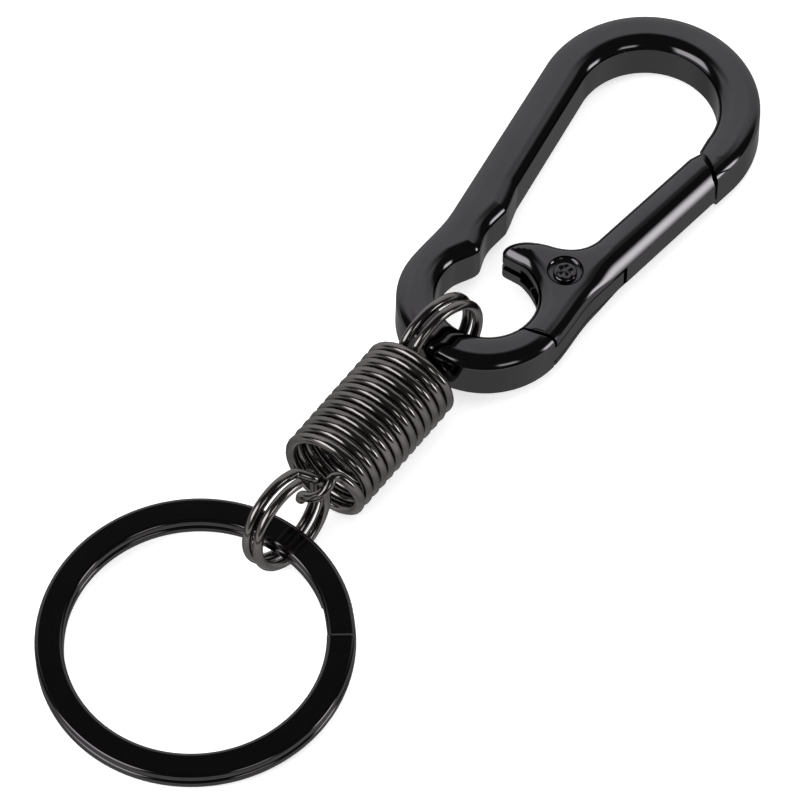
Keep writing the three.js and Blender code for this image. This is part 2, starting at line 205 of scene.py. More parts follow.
class Plate:
    """A flat plate whose edges roll over. Edge runs roll wide and seam runs
    only break their corner. Runs are (points, kind), in order round the outline."""

    ROLL = 1.45
    ROLL_DEPTH = 1.25
    CREASE = 1.055
    SEAM_ROLL = 0.2
    WIDE_ROLL = 1.95
    WIDE_CURVE = 0.8

    def __init__(self, runs, widen=None):
        self.widen = widen
        self.points = []
        self.kinds = []
        for pts, kind in runs:
            for p in pts:
                if self.points and math.dist(self.points[-1], p) < 1e-3:
                    continue
                self.points.append((float(p[0]), float(p[1])))
                self.kinds.append(kind)
        if math.dist(self.points[0], self.points[-1]) < 1e-3:
            self.points.pop()
            self.kinds.pop()
        area = sum(
            a[0] * b[1] - a[1] * b[0]
            for a, b in zip(self.points, self.points[1:] + self.points[:1])
        )
        runs = [(np.array(p, float), kind) for p, kind in runs]
        if area < 0:
            self.points.reverse()
            runs = [(p[::-1], kind) for p, kind in runs]
        self.guides = {"edge": [], "seam": []}
        for p, kind in runs:
            self.guides[kind].append(self.extended(p))
        self.segments = {k: self.to_segments(g) for k, g in self.guides.items()}

    @staticmethod
    def extended(p, by=2.5, steps=10):
        """The run, carried on straight past both ends."""
        s = np.linspace(0, by, steps + 1)[1:, None]
        a = p[0] + (p[0] - p[1]) / np.linalg.norm(p[0] - p[1]) * s[::-1]
        b = p[-1] + (p[-1] - p[-2]) / np.linalg.norm(p[-1] - p[-2]) * s
        return np.vstack([a, p, b])

    @staticmethod
    def to_segments(guides):
        """Segments of all runs: ends, inward normals at both ends, and a search tree."""
        a, b, na, nb = [], [], [], []
        for g in guides:
            d = np.diff(g, axis=0)
            d /= np.linalg.norm(d, axis=1)[:, None]
            seg = np.column_stack([-d[:, 1], d[:, 0]])
            vert = np.vstack([seg[:1], seg[:-1] + seg[1:], seg[-1:]])
            vert /= np.linalg.norm(vert, axis=1)[:, None]
            a.append(g[:-1])
            b.append(g[1:])
            na.append(vert[:-1])
            nb.append(vert[1:])
        a, b, na, nb = (np.vstack(x) for x in (a, b, na, nb))
        middle = (a + b) / 2
        tree = KDTree(len(a))
        for i, (x, y) in enumerate(middle):
            tree.insert((x, y, 0), i)
        tree.balance()
        return a, b, na, nb, tree

    def nearest(self, kind, q):
        """Distance inside the runs of one kind, and the inward normal there."""
        a, b, na, nb, tree = self.segments[kind]
        found = np.array([tree.find((x, y, 0))[1] for x, y in q])
        best = np.full(len(q), 1e9)
        dist = np.empty(len(q))
        norm = np.empty((len(q), 2))
        for shift in (-1, 0, 1):
            k = np.clip(found + shift, 0, len(a) - 1)
            d = b[k] - a[k]
            ap = q - a[k]
            t = np.clip((ap * d).sum(1) / (d**2).sum(1), 0, 1)[:, None]
            gap = ap - t * d
            dd = np.linalg.norm(gap, axis=1)
            nn = na[k] * (1 - t) + nb[k] * t
            nn /= np.linalg.norm(nn, axis=1)[:, None]
            sign = np.where((gap * nn).sum(1) < 0, -1, 1) if kind == "edge" else 1
            better = dd < best
            best[better] = dd[better]
            dist[better] = (dd * sign)[better]
            norm[better] = nn[better]
        return dist, norm

    def edge_roll(self, q):
        """Drop and slope of the rolled edge, and the inward normal."""
        de, ne = self.nearest("edge", q)
        reach = self.ROLL * self.CREASE
        u = np.clip((self.ROLL - de) / reach, 0, 1)
        root = np.sqrt(np.maximum(1 - u**2, 1e-6))
        drop = self.ROLL_DEPTH * (1 - root)
        slope = self.ROLL_DEPTH * u / root / reach
        if self.widen is not None:
            share = self.widen(q)
            t = np.clip(self.WIDE_ROLL - de, 0, None)
            drop = drop * (1 - share) + self.WIDE_CURVE * t**2 / 2 * share
            slope = slope * (1 - share) + self.WIDE_CURVE * t * share
        return drop, slope, ne

    def surface(self, q):
        """Drop below the top face and the outward unit normal at points q."""
        drop_e, slope_e, ne = self.edge_roll(q)
        ds, ns = self.nearest("seam", q)
        w = np.clip((self.SEAM_ROLL - ds) / (self.SEAM_ROLL * 1.1), 0, 1)
        drop_s = self.SEAM_ROLL * (1 - np.sqrt(np.maximum(1 - w**2, 1e-6)))
        slope_s = w / np.sqrt(np.maximum(1 - w**2, 1e-6))
        use = drop_e >= drop_s
        drop = np.where(use, drop_e, drop_s)
        slope = np.where(use, slope_e, slope_s)
        inward = np.where(use[:, None], ne, ns)
        normal = np.column_stack([-inward * slope[:, None], np.ones(len(q))])
        normal /= np.linalg.norm(normal, axis=1)[:, None]
        return drop, normal

    def inner_points(self):
        """Rows of points inside the outline, close together where the edge rolls."""
        out = []
        for kind, levels in (
            ("edge", [0.06, 0.16, 0.3, 0.46, 0.64, 0.84, 1.06, 1.28, 1.5, 1.75, 1.95, 2.2]),
            ("seam", [0.03, 0.07, 0.12, 0.17, 0.21, 0.3]),
        ):
            a, b, na, nb, _ = self.segments[kind]
            for level in levels:
                q = a + na * level
                de, _ = self.nearest("edge", q)
                ds, _ = self.nearest("seam", q)
                mine = de if kind == "edge" else ds
                keep = (mine > level - 0.01) & (np.minimum(de, ds) > 0.02)
                out.append(q[keep])
        return np.vstack(out)

    def inside(self, q):
        """Which points lie inside the outline."""
        poly = np.array(self.points)
        x, y = q[:, 0][:, None], q[:, 1][:, None]
        ax, ay = poly[:, 0], poly[:, 1]
        bx, by = np.roll(ax, -1), np.roll(ay, -1)
        cross = ((ay > y) != (by > y)) & (x < (bx - ax) * (y - ay) / (by - ay + 1e-12) + ax)
        return cross.sum(1) % 2 == 1

    def build(self, name, half):
        """The closed plate, from -half to half."""
        rim = np.array(self.points)
        q = self.inner_points()
        q = q[self.inside(q)]
        every = [Vector(p) for p in rim] + [Vector(p) for p in q]
        n = len(rim)
        edges = [(i, (i + 1) % n) for i in range(n)]
        verts, _, tris, orig, _, _ = delaunay_2d_cdt(every, edges, [], 1, 1e-5)
        flat = np.array([tuple(v) for v in verts])
        drop, _ = self.surface(flat)
        source = {src: i for i, o in enumerate(orig) for src in o}
        loop = [source[i] for i in range(n)]
        count = len(flat)
        top = np.column_stack([flat, half - drop])
        bottom = np.column_stack([flat, drop - half])
        faces = []
        for f in tris:
            a, b, c = (flat[i] for i in f[:3])
            turn = (b[0] - a[0]) * (c[1] - a[1]) - (b[1] - a[1]) * (c[0] - a[0])
            f = list(f) if turn > 0 else list(f)[::-1]
            faces.append(tuple(f))
            faces.append(tuple(count + i for i in reversed(f)))
        for i in range(n):
            a, b = loop[i], loop[(i + 1) % n]
            faces.append((a, count + a, count + b, b))
        return new_object(name, np.vstack([top, bottom]), faces)

    def shade(self, obj, half, others=None):
        """Gives every face corner its exact normal, so that the polish reads clean."""
        smooth(obj)
        mesh = obj.data
        nv, nl = len(mesh.vertices), len(mesh.loops)
        co = np.empty(nv * 3)
        mesh.vertices.foreach_get("co", co)
        co = co.reshape(-1, 3)
        loop_vert = np.empty(nl, int)
        mesh.loops.foreach_get("vertex_index", loop_vert)
        np_ = len(mesh.polygons)
        start, total = np.empty(np_, int), np.empty(np_, int)
        mesh.polygons.foreach_get("loop_start", start)
        mesh.polygons.foreach_get("loop_total", total)
        centre, fn = np.empty(np_ * 3), np.empty(np_ * 3)
        mesh.polygons.foreach_get("center", centre)
        mesh.polygons.foreach_get("normal", fn)
        centre, fn = centre.reshape(-1, 3), fn.reshape(-1, 3)
        owner = np.empty(nl, int)
        for i, (s, t) in enumerate(zip(start, total)):
            owner[s:s + t] = i
        where = co[loop_vert]
        face_n = fn[owner]
        mid = centre[owner]
        q = where[:, :2] * 0.97 + mid[:, :2] * 0.03
        drop, rolled = self.surface(q)
        de, ne = self.nearest("edge", q)
        sign = np.sign(face_n[:, 2])
        rolled[:, 2] *= sign
        mid_drop, _ = self.surface(mid[:, :2])
        on_cap = (np.abs(face_n[:, 2]) > 0.18) & (np.abs(np.abs(mid[:, 2]) - (half - mid_drop)) < 0.05)
        on_wall = (np.abs(face_n[:, 2]) < 0.05) & (np.abs(de) < 0.02)
        wall = np.column_stack([-ne, np.zeros(nl)])
        same = (wall * face_n).sum(1) > 0.9
        normals = face_n.copy()
        normals[on_cap] = rolled[on_cap]
        normals[on_wall & same] = wall[on_wall & same]
        if others is not None:
            others(where, mid, face_n, normals)
        mesh.normals_split_custom_set([tuple(v) for v in normals])


# ------------------------------------------------------------- the outlines


def seam_on_side(gap):
    (ax, ay), (bx, by) = (7.0, -1.5), (10.9, -3.8)
    slope = (by - ay) / (bx - ax)
    y = (ay - gap + slope * (side_x(0) - ax)) / (1 - slope * math.tan(TAPER * DEG))
    return (side_x(y), y)


GAP_BODY_OUTER, GAP_BODY_INNER = -4, -23
GAP_GATE_OUTER, GAP_GATE_INNER = -1.7, -19


def body_runs():
    start = seam_on_side(0)
    a = arc(0, 0, BIG_R, -TAPER, 180 + TAPER)
    b = line(a[-1], (-side_x(WAIST_Y), WAIST_Y))
    c = bezier(b[-1], (-7.95, -23.2), (-SMALL_R, -25.0), (-SMALL_R, SMALL_Y))
    d = arc(0, SMALL_Y, SMALL_R, 180, 360 + GAP_BODY_OUTER)
    outer = np.array(chain_points([start], a, b, c, d))
    e = arc(0, EYE_Y, EYE_R, GAP_BODY_INNER, -197)
    spine = [
        bezier(e[-1], (-4.3, -25.0), (-3.95, -24.5), (-3.72, -24.02), 0.12),
        bezier((-3.72, -24.02), (-3.5, -23.56), (-3.5, -23.3), (-3.6, -22.95), 0.08),
        bezier((-3.6, -22.95), (-3.85, -22.1), (-4.25, -21.4), (-4.2, -20.2), 0.12),
        bezier((-4.2, -20.2), (-4.15, -19.2), (-4.05, -18.8), (-4.02, -18.0), 0.12),
        bezier((-4.02, -18.0), (-4.2, -17.0), (-4.6, -15.8), (-4.8, -15.0), 0.12),
    ]
    f = arc(0, 0, BIG_INNER_R, 180 + TAPER, 0)
    inner = np.array(chain_points(
        e, *spine, line(spine[-1][-1], f[0]), f, line(f[-1], (7.0, -1.5), 0.2)))
    return [
        (outer, "edge"),
        (line(outer[-1], inner[0], 0.15), "seam"),
        (inner, "edge"),
        (line(inner[-1], outer[0], 0.15), "seam"),
    ]


def gate_runs():
    start = seam_on_side(0.4)
    end = polar(0, SMALL_Y, SMALL_R, GAP_GATE_OUTER)
    low = (side_x(WAIST_Y), WAIST_Y)
    outer = np.array(chain_points(
        line(start, low), bezier(low, (7.95, -23.2), (SMALL_R + 0.06, -25.4), end)))
    e = arc(0, EYE_Y, EYE_R, GAP_GATE_INNER, 52)
    inner = np.array(chain_points(
        e,
        bezier(e[-1], (2.1, -22.8), (1.3, -22.35), (0.4, -22.35), 0.12),
        line((0.4, -22.35), (-1.1, -22.4), 0.15),
        bezier((-1.1, -22.4), (-1.9, -22.4), (-1.9, -21.5), (-1.6, -20.9), 0.08),
        bezier((-1.6, -20.9), (-1.1, -20.0), (-0.2, -19.4), (0.6, -19.15), 0.12),
        bezier((0.6, -19.15), (2.9, -18.8), (4.4, -18.0), (4.95, -16.0), 0.15),
        line((4.95, -16.0), (6.72, -2.9)),
        line((6.72, -2.9), (7.1, -1.96), 0.15),
    ))
    return [
        (outer, "edge"),
        (line(outer[-1], inner[0], 0.15), "seam"),
        (inner, "edge"),
        (line(inner[-1], outer[0], 0.15), "seam"),
    ]


# ------------------------------------------------------------------ cutting


def boolean(obj, cutter, operation="DIFFERENCE"):
    mod = obj.modifiers.new("cut", "BOOLEAN")
    mod.operation = operation
    mod.solver = "EXACT"
    mod.object = cutter
    depsgraph = bpy.context.evaluated_depsgraph_get()
    mesh = bpy.data.meshes.new_from_object(obj.evaluated_get(depsgraph))
    obj.modifiers.clear()
    old = obj.data
    obj.data = mesh
    bpy.data.meshes.remove(old)
    bpy.data.objects.remove(cutter)


def prism(points, z0, z1):
    """An upright prism on a plan outline."""
    pts = np.array(chain_points(points))
    if math.dist(pts[0], pts[-1]) < 1e-3:
        pts = pts[:-1]
    area = sum(a[0] * b[1] - a[1] * b[0] for a, b in zip(pts, np.roll(pts, -1, 0)))
    if area < 0:
        pts = pts[::-1]
    n = len(pts)
    verts = [(x, y, z0) for x, y in pts] + [(x, y, z1) for x, y in pts]
    faces = [tuple(range(n))[::-1], tuple(range(n, 2 * n))]
    faces += [(i, (i + 1) % n, n + (i + 1) % n, n + i) for i in range(n)]
    return new_object("cutter", verts, faces)


def lathe(name, profile, centre, sides=96):
    """A closed solid of revolution about a z axis. The profile runs upwards."""
    verts, faces = [], []
    for r, z in profile:
        for k in range(sides):
            a = 2 * math.pi * k / sides
            verts.append((centre[0] + r * math.cos(a), centre[1] + r * math.sin(a), z))
    for i in range(len(profile) - 1):
        for k in range(sides):
            j = (k + 1) % sides
            faces.append((i * sides + k, i * sides + j, (i + 1) * sides + j, (i + 1) * sides + k))
    faces.append(tuple(range(sides))[::-1])
    faces.append(tuple((len(profile) - 1) * sides + k for k in range(sides)))
    return new_object(name, verts, faces)


TONGUE = 2.1
CHANNEL = 2.5


def channel_outline():
    room = 1.9
    return chain_points(
        [(12.7, -16.5), (PIVOT[0] + 1.1, -16.5), (PIVOT[0] + 0.6, PIVOT[1] + room)],
        arc(*PIVOT, room, 100, 205), [(2.9, -23.6), (3.2, -31), (12.7, -31)])


def tongue_outline():
    left = PIVOT[0] + 1.45
    low = (side_x(WAIST_Y), WAIST_Y)
    end = polar(0, SMALL_Y, SMALL_R, GAP_GATE_OUTER)
    return chain_points(
        line((side_x(-17.0), -17.0), low),
        bezier(low, (7.95, -23.2), (SMALL_R + 0.06, -25.4), end),
        [(7.9, -29.4), (5.9, -29.6), (5.75, -26.6), (4.75, -24.2), (3.95, -22.9)],
        arc(*PIVOT, 1.6, 230, 68), [(left, -18.6), (left + 0.2, -17.0)])


DISH_R = 1.75
DISH_FLOOR_R = 1.25
DISH_DEPTH = 0.45
RIVET_HOLE_R = 0.88
RIVET_SHANK_R = 0.6


def rivet_hole():
    """A cutter for the hole that the rivet's shank turns in."""
    return lathe("cutter", [(RIVET_HOLE_R, -THICKNESS), (RIVET_HOLE_R, THICKNESS)], PIVOT)


def dish(side):
    """A cutter for the dished recess round the rivet, on the top or bottom face."""
    steps = [90 * i / 6 * DEG for i in range(7)]
    rim = [(0.001, HALF - DISH_DEPTH)]
    rim += [(DISH_FLOOR_R + (DISH_R - DISH_FLOOR_R) * math.sin(a), HALF - DISH_DEPTH * math.cos(a))
            for a in steps]
    rim += [(DISH_R, HALF + 0.3), (0.001, HALF + 0.3)]
    if side < 0:
        rim = [(r, -z) for r, z in reversed(rim)]
    return lathe("cutter", rim, PIVOT)


def dish_normals(where, mid, face_n, normals):
    d = mid[:, :2] - np.array(PIVOT)
    r = np.linalg.norm(d, axis=1)
    cone = (r < DISH_R + 0.05) & (np.abs(face_n[:, 2]) > 0.05) & (np.abs(face_n[:, 2]) < 0.999)
    cone &= np.abs(where[:, 2]) > HALF - DISH_DEPTH - 0.02
    out = where[:, :2] - np.array(PIVOT)
    out /= np.maximum(np.linalg.norm(out, axis=1), 1e-6)[:, None]
    flat = np.linalg.norm(face_n[:, :2], axis=1)
    n = np.column_stack([-out * flat[:, None], face_n[:, 2]])
    normals[cone] = n[cone]


# ------------------------------------------------------------------ materials


def metal_material(name, base, tint, rough, wear=0.0):
    """Black nickel: a dark mirror with fine brushing and faint mottling."""
    mat = bpy.data.materials.new(name)
    mat.use_nodes = True
    nt = mat.node_tree
    nodes, links = nt.nodes, nt.links
    nodes.clear()
    out = nodes.new("ShaderNodeOutputMaterial")
    bsdf = nodes.new("ShaderNodeBsdfPrincipled")
    links.new(bsdf.outputs["BSDF"], out.inputs["Surface"])
    bsdf.inputs["Metallic"].default_value = 1.0
    coord = nodes.new("ShaderNodeTexCoord")

    def noise(scale, detail, stretch=(1, 1, 1)):
        mapping = nodes.new("ShaderNodeMapping")
        mapping.inputs["Scale"].default_value = stretch
        tex = nodes.new("ShaderNodeTexNoise")
        tex.inputs["Scale"].default_value = scale
        tex.inputs["Detail"].default_value = detail
        links.new(coord.outputs["Object"], mapping.inputs["Vector"])
        links.new(mapping.outputs["Vector"], tex.inputs["Vector"])
        return tex.outputs["Fac"]

    def ramp(value, stops):
        node = nodes.new("ShaderNodeValToRGB")
        while len(node.color_ramp.elements) < len(stops):
            node.color_ramp.elements.new(0.5)
        for element, (pos, colour) in zip(node.color_ramp.elements, stops):
            element.position = pos
            element.color = (*colour, 1)
        links.new(value, node.inputs["Fac"])
        return node.outputs["Color"]

    def mix(factor, a, b):
        node = nodes.new("ShaderNodeMix")
        node.data_type = "RGBA"
        links.new(factor, node.inputs["Factor"])
        for sock, value in ((node.inputs["A"], a), (node.inputs["B"], b)):
            if isinstance(value, tuple):
                sock.default_value = (*value, 1)
            else:
                links.new(value, sock)
        return node.outputs["Result"]

    mottle = noise(260, 4)
    colour = mix(ramp(mottle, [(0.35, (0, 0, 0)), (0.7, (1, 1, 1))]), base, tint)
    fine = noise(2600, 3)
    grain = noise(5200, 2, (1, 0.15, 1))
    rough_map = nodes.new("ShaderNodeMapRange")
    rough_map.inputs["To Min"].default_value = rough * 0.75
    rough_map.inputs["To Max"].default_value = rough * 1.45
    links.new(fine, rough_map.inputs["Value"])
    links.new(rough_map.outputs["Result"], bsdf.inputs["Roughness"])
    if wear > 0:
        geo = nodes.new("ShaderNodeNewGeometry")
        edge = ramp(geo.outputs["Pointiness"], [(0.52, (0, 0, 0)), (0.62, (wear,) * 3)])
        colour = mix(edge, colour, (0.22, 0.2, 0.19))
    links.new(colour, bsdf.inputs["Base Color"])
    bump = nodes.new("ShaderNodeBump")
    bump.inputs["Strength"].default_value = 0.02
    bump.inputs["Distance"].default_value = 0.00002
    links.new(grain, bump.inputs["Height"])
    links.new(bump.outputs["Normal"], bsdf.inputs["Normal"])
    return mat


NICKEL = metal_material("black_nickel", (0.068, 0.0655, 0.0695), (0.075, 0.072, 0.076), 0.075)
STRIP = metal_material("key_ring_nickel", (0.062, 0.059, 0.062), (0.075, 0.07, 0.072), 0.08)
WIRE = metal_material("spring_steel", (0.135, 0.126, 0.123), (0.2, 0.184, 0.178), 0.13)


def finish(obj, matrix, body, nodes, material):
    """Places a piece, gives it its material and lets it ride on its body."""
    obj.data.transform(matrix)
    obj.data.update()
    obj.data.materials.clear()
    obj.data.materials.append(material)
    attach(obj, body)
    if nodes:
        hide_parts(*nodes)
    return obj


# -------------------------------------------------------------- the carabiner

body_plate = Plate(body_runs())
body = body_plate.build("carabiner_shell", HALF)
body_plate.shade(body, HALF)
finish(body, CARABINER, "carabiner", ["carabiner_body"], NICKEL)

GATE_MIDDLE = (8.6, -2.9)
GATE_SLOPE = 0.13


def ease(v, low, high):
    v = np.clip((v - low) / (high - low), 0, 1)
    return v * v * (3 - 2 * v)


def gate_widening(q):
    """1 along the gate's outer edge and round the finger, easing to 0 elsewhere."""
    middle = GATE_MIDDLE[0] + (q[:, 1] - GATE_MIDDLE[1]) * GATE_SLOPE
    outer = ease(q[:, 1], -21.5, -17.5) * ease(q[:, 0] - middle, -0.1, 0.1)
    finger = ease(-q[:, 0], -1.6, -0.2) * 0.35
    return np.maximum(outer, finger)


gate_plate = Plate(gate_runs(), gate_widening)
gate = gate_plate.build("gate_shell", HALF)
boolean(gate, prism(channel_outline(), -CHANNEL / 2, CHANNEL / 2))
boolean(gate, prism([(-3, -23.4), (0.65, -23.4), (0.65, -18.6), (-3, -18.6)], -0.4, 0.4))
boolean(gate, prism([(0.55, -23.4), (4.68, -23.4), (4.68, -19.6), (0.55, -19.6)], -0.95, 0.95))
boolean(gate, rivet_hole())
boolean(gate, dish(1))
boolean(gate, dish(-1))
gate_plate.shade(gate, HALF, dish_normals)
finish(gate, CARABINER, "gate", ["gate"], NICKEL)

tongue = prism(tongue_outline(), -TONGUE / 2, TONGUE / 2)
tongue.name = "gate_tongue"
boolean(tongue, rivet_hole())
smooth_by_angle(tongue, 25)
finish(tongue, CARABINER, "carabiner", [], NICKEL)

seat = HALF - DISH_DEPTH + 0.05
HEAD = [(RIVET_SHANK_R, seat), (1.12, seat), (1.15, seat + 0.12), (1.1, seat + 0.22),
        (0.98, seat + 0.29), (0.8, seat + 0.32), (0.66, seat + 0.3), (0.5, seat + 0.21),
        (0.36, seat + 0.22), (0.2, seat + 0.27), (0.001, seat + 0.29)]
profile = [(r, -z) for r, z in reversed(HEAD)] + HEAD
rivet = lathe("rivet", profile, PIVOT, 72)
for vert in rivet.data.vertices:
    x, y = vert.co.x - PIVOT[0], vert.co.y - PIVOT[1]
    stamped = math.exp(-((math.hypot(x, y) - 0.5) / 0.2) ** 2) if abs(vert.co.z) > seat else 0
    vert.co.z += 0.07 * stamped * math.cos(5 * math.atan2(y, x)) * (1 if vert.co.z > 0 else -1)
smooth_by_angle(rivet, 40)
finish(rivet, CARABINER, "carabiner", ["gate_rivet"], NICKEL)

SPRING = {"x": 2.05, "bottom": -22.2, "top": -19.85, "r": 0.52, "wire": 0.13, "turns": 5}
t = np.linspace(0, 1, 5 * 28 + 1)
angle = 2 * math.pi * SPRING["turns"] * t
length = SPRING["top"] - SPRING["bottom"] - 2 * SPRING["wire"]
path = np.column_stack([
    SPRING["x"] + SPRING["r"] * np.cos(angle),
    SPRING["bottom"] + SPRING["wire"] + length * t,
    SPRING["r"] * np.sin(angle)])
gate_spring = tube("return_spring", path, SPRING["wire"], 12, 0.02)
finish(gate_spring, CARABINER, "carabiner", ["gate_spring"], WIRE)
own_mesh(gate_spring)

# ------------------------------------------------------------ the split rings


def split_ring_path(radius, pitch, ramp, clearance, hand, steps):
    start = (ramp / 2 + clearance) * DEG
    a = np.linspace(start, 4 * math.pi - start, steps)
    s = np.clip((a - 2 * math.pi + ramp * DEG / 2) / (ramp * DEG), 0, 1)
    z = pitch * (0.5 - s * s * (3 - 2 * s))
    return np.column_stack([radius * np.cos(a), hand * radius * np.sin(a), z]), a


RING_R = 4.7
RING_WIRE = 0.5
UPPER_RING = {"x": -1.05, "y": -33.85, "spin": -10, "tip": 4, "cut": -20}
LOWER_RING = {"x": -1.55, "y": -58.25, "spin": -8, "tip": 6, "cut": 140}


def small_ring(name, place, body_name, node):
    path, _ = split_ring_path(RING_R, 1.32, 24, 8, 1, 300)
    obj = tube(name, path, RING_WIRE, 20, 0.07)
    turn = (Matrix.Rotation(place["spin"] * DEG, 4, "Z")
            @ Matrix.Rotation((90 - place["tip"]) * DEG, 4, "Y")
            @ Matrix.Rotation(place["cut"] * DEG, 4, "Z"))
    move = Matrix.Translation((place["x"], place["y"], RING_R + RING_WIRE))
    return finish(obj, TO_ROW @ move @ turn, body_name, [node], WIRE)


small_ring("upper_ring", UPPER_RING, "upper_ring", "upper_split_ring")
small_ring("lower_ring", LOWER_RING, "lower_ring", "lower_split_ring")

# --------------------------------------------------------------- the coil

COIL_R = 4.25
COIL_WIRE = 0.52
COIL_TURNS = 12
COIL_LEAD = 60
COIL_HALF = 6.78
COIL_CENTRE = (-1.29, -45.2)

# A hook leaves the last turn along the rim: angle, distance beyond the mouth,
# radius. Its tail is x, distance, z.
MOUTH = 6.84
LOWER_HOOK = {
    "rim": [(-30, 0.12, 4.25), (0, 0.2, 4.25), (25, 0.5, 4.2), (45, 0.85, 4.15), (55, 1.15, 4.15)],
    "tail": [(2.15, 1.65, 3.55), (2.25, 2.4, 3.2), (2.05, 3.15, 2.65), (1.4, 3.6, 2.05),
             (0.6, 3.68, 1.5), (0, 3.55, 0.9), (-0.25, 3.4, 0)],
}
UPPER_HOOK = {
    "rim": [(-30, 0.1, 4.25), (0, 0.15, 4.25), (25, 0.3, 4.2), (45, 0.5, 4.15)],
    "tail": [(2.5, 0.85, 2.9), (2.2, 1.15, 2.1), (1.7, 1.35, 1.35), (1.1, 1.42, 0.85),
             (0.4, 1.42, 0.5), (-0.4, 1.4, 0.3), (-1.05, 1.35, 0), (-1.35, 1.3, -0.7)],
}


def smooth_path(points, per=6):
    """A centripetal Catmull-Rom run through points."""
    p = np.array(points, float)
    p = np.vstack([2 * p[0] - p[1], p, 2 * p[-1] - p[-2]])
    out = []
    for i in range(1, len(p) - 2):
        p0, p1, p2, p3 = p[i - 1:i + 3]
        t0 = 0.0
        t1 = t0 + np.linalg.norm(p1 - p0) ** 0.5
        t2 = t1 + np.linalg.norm(p2 - p1) ** 0.5
        t3 = t2 + np.linalg.norm(p3 - p2) ** 0.5
        for t in np.linspace(t1, t2, per, endpoint=False):
            a1 = (t1 - t) / (t1 - t0) * p0 + (t - t0) / (t1 - t0) * p1
            a2 = (t2 - t) / (t2 - t1) * p1 + (t - t1) / (t2 - t1) * p2
            a3 = (t3 - t) / (t3 - t2) * p2 + (t - t2) / (t3 - t2) * p3
            b1 = (t2 - t) / (t2 - t0) * a1 + (t - t0) / (t2 - t0) * a2
            b2 = (t3 - t) / (t3 - t1) * a2 + (t - t1) / (t3 - t1) * a3
            out.append((t2 - t) / (t2 - t1) * b1 + (t - t1) / (t2 - t1) * b2)
    out.append(p[-2])
    return np.array(out)


def hook_points(hook):
    """A hook's centre line at the lower mouth, from the rim to the tip."""
    rim = [(r * math.cos(a * DEG), -MOUTH - out, r * math.sin(a * DEG)) for a, out, r in hook["rim"]]
    return rim + [(x, -MOUTH - out, z) for x, out, z in hook["tail"]]


def coil_points():
    """The coil's centre line, its axis along y. The upper hook is turned half round x."""
    upper = [(x, -y, -z) for x, y, z in hook_points(UPPER_HOOK)][::-1]
    steps = COIL_TURNS * 30
    lead = COIL_LEAD * DEG
    turns = []
    for i in range(steps + 1):
        s = i / steps
        a = lead + (2 * math.pi * COIL_TURNS - 2 * lead) * s
        turns.append((COIL_R * math.cos(a), COIL_HALF * (1 - 2 * s), COIL_R * math.sin(a)))
    ends = smooth_path(upper + turns[:2], 8), smooth_path(turns[-2:] + hook_points(LOWER_HOOK), 8)
    return np.vstack([ends[0][:-1], turns[2:-2], ends[1][1:]])


coil = tube("coil", coil_points(), COIL_WIRE, 18, 0.07)
move = Matrix.Translation((*COIL_CENTRE, COIL_R + COIL_WIRE)) @ Matrix.Rotation(-2 * DEG, 4, "Z")
finish(coil, TO_ROW @ move, "coil", ["coil_spring"], WIRE)

# ------------------------------------------------------------- the key ring

KEY_R = 15.0
KEY_WIDTH = 2.7
KEY_LAYER = 0.98
KEY_GAP = 0.2
KEY_TILT = 4.6


def strip_section(w, h, e, steps=4):
    """A rounded rectangle: (radial, axial, normal radial, normal axial)."""
    out = []
    for cx, cy, a0 in ((w - e, h - e, 0), (e - w, h - e, 90), (e - w, e - h, 180), (w - e, e - h, 270)):
        for i in range(steps + 1):
            a = (a0 + 90 * i / steps) * DEG
            out.append((cx + e * math.cos(a), cy + e * math.sin(a), math.cos(a), math.sin(a)))
    return out


def key_ring():
    middle = KEY_R - KEY_WIDTH / 2
    path, a = split_ring_path(middle, KEY_LAYER + KEY_GAP, 10, 4, -1, 420)
    section = strip_section(KEY_WIDTH / 2, KEY_LAYER / 2, 0.4)
    m = len(section)
    verts, normals = [], []
    for (x, y, z) in path:
        out = np.array([x, y, 0]) / middle
        for r, h, nr, nh in section:
            verts.append(np.array([x, y, z]) + out * r + np.array([0, 0, h]))
            normals.append(out * nr + np.array([0, 0, nh]))
    faces = []
    for i in range(len(path) - 1):
        for k in range(m):
            j = (k + 1) % m
            faces.append((i * m + k, (i + 1) * m + k, (i + 1) * m + j, i * m + j)[::-1])
    faces.append(tuple(range(m)))
    faces.append(tuple(range((len(path) - 1) * m, len(path) * m))[::-1])
    obj = new_object("key_ring_strip", verts, faces)
    smooth(obj)
    mesh = obj.data
    loop_normals = []
    for poly in mesh.polygons:
        for li in poly.loop_indices:
            v = mesh.loops[li].vertex_index
            n = normals[v] if len(poly.vertices) == 4 else poly.normal
            loop_normals.append(tuple(n))
    mesh.normals_split_custom_set(loop_normals)
    return obj


ring = key_ring()
half_thick = KEY_LAYER + KEY_GAP / 2
tilt = KEY_TILT * DEG
centre = Vector((-1.9, -57.85 - KEY_R * math.cos(tilt),
                 half_thick * math.cos(tilt) + KEY_R * math.sin(tilt)))
turn = Matrix.Rotation(tilt, 4, "X") @ Matrix.Rotation(43 * DEG, 4, "Z")
finish(ring, TO_ROW @ Matrix.Translation(centre) @ turn, "key_ring", ["key_ring"],
       STRIP)

# -------------------------------------------------------------------- studio


def view_vector(azimuth, elevation):
    a, e = azimuth * DEG, elevation * DEG
    return Vector((math.sin(a) * math.cos(e), -math.cos(a) * math.cos(e), math.sin(e)))


def look(obj, target):
    obj.rotation_euler = (target - obj.location).to_track_quat("-Z", "Y").to_euler()


scene = bpy.context.scene
scene.view_settings.view_transform = "Standard"


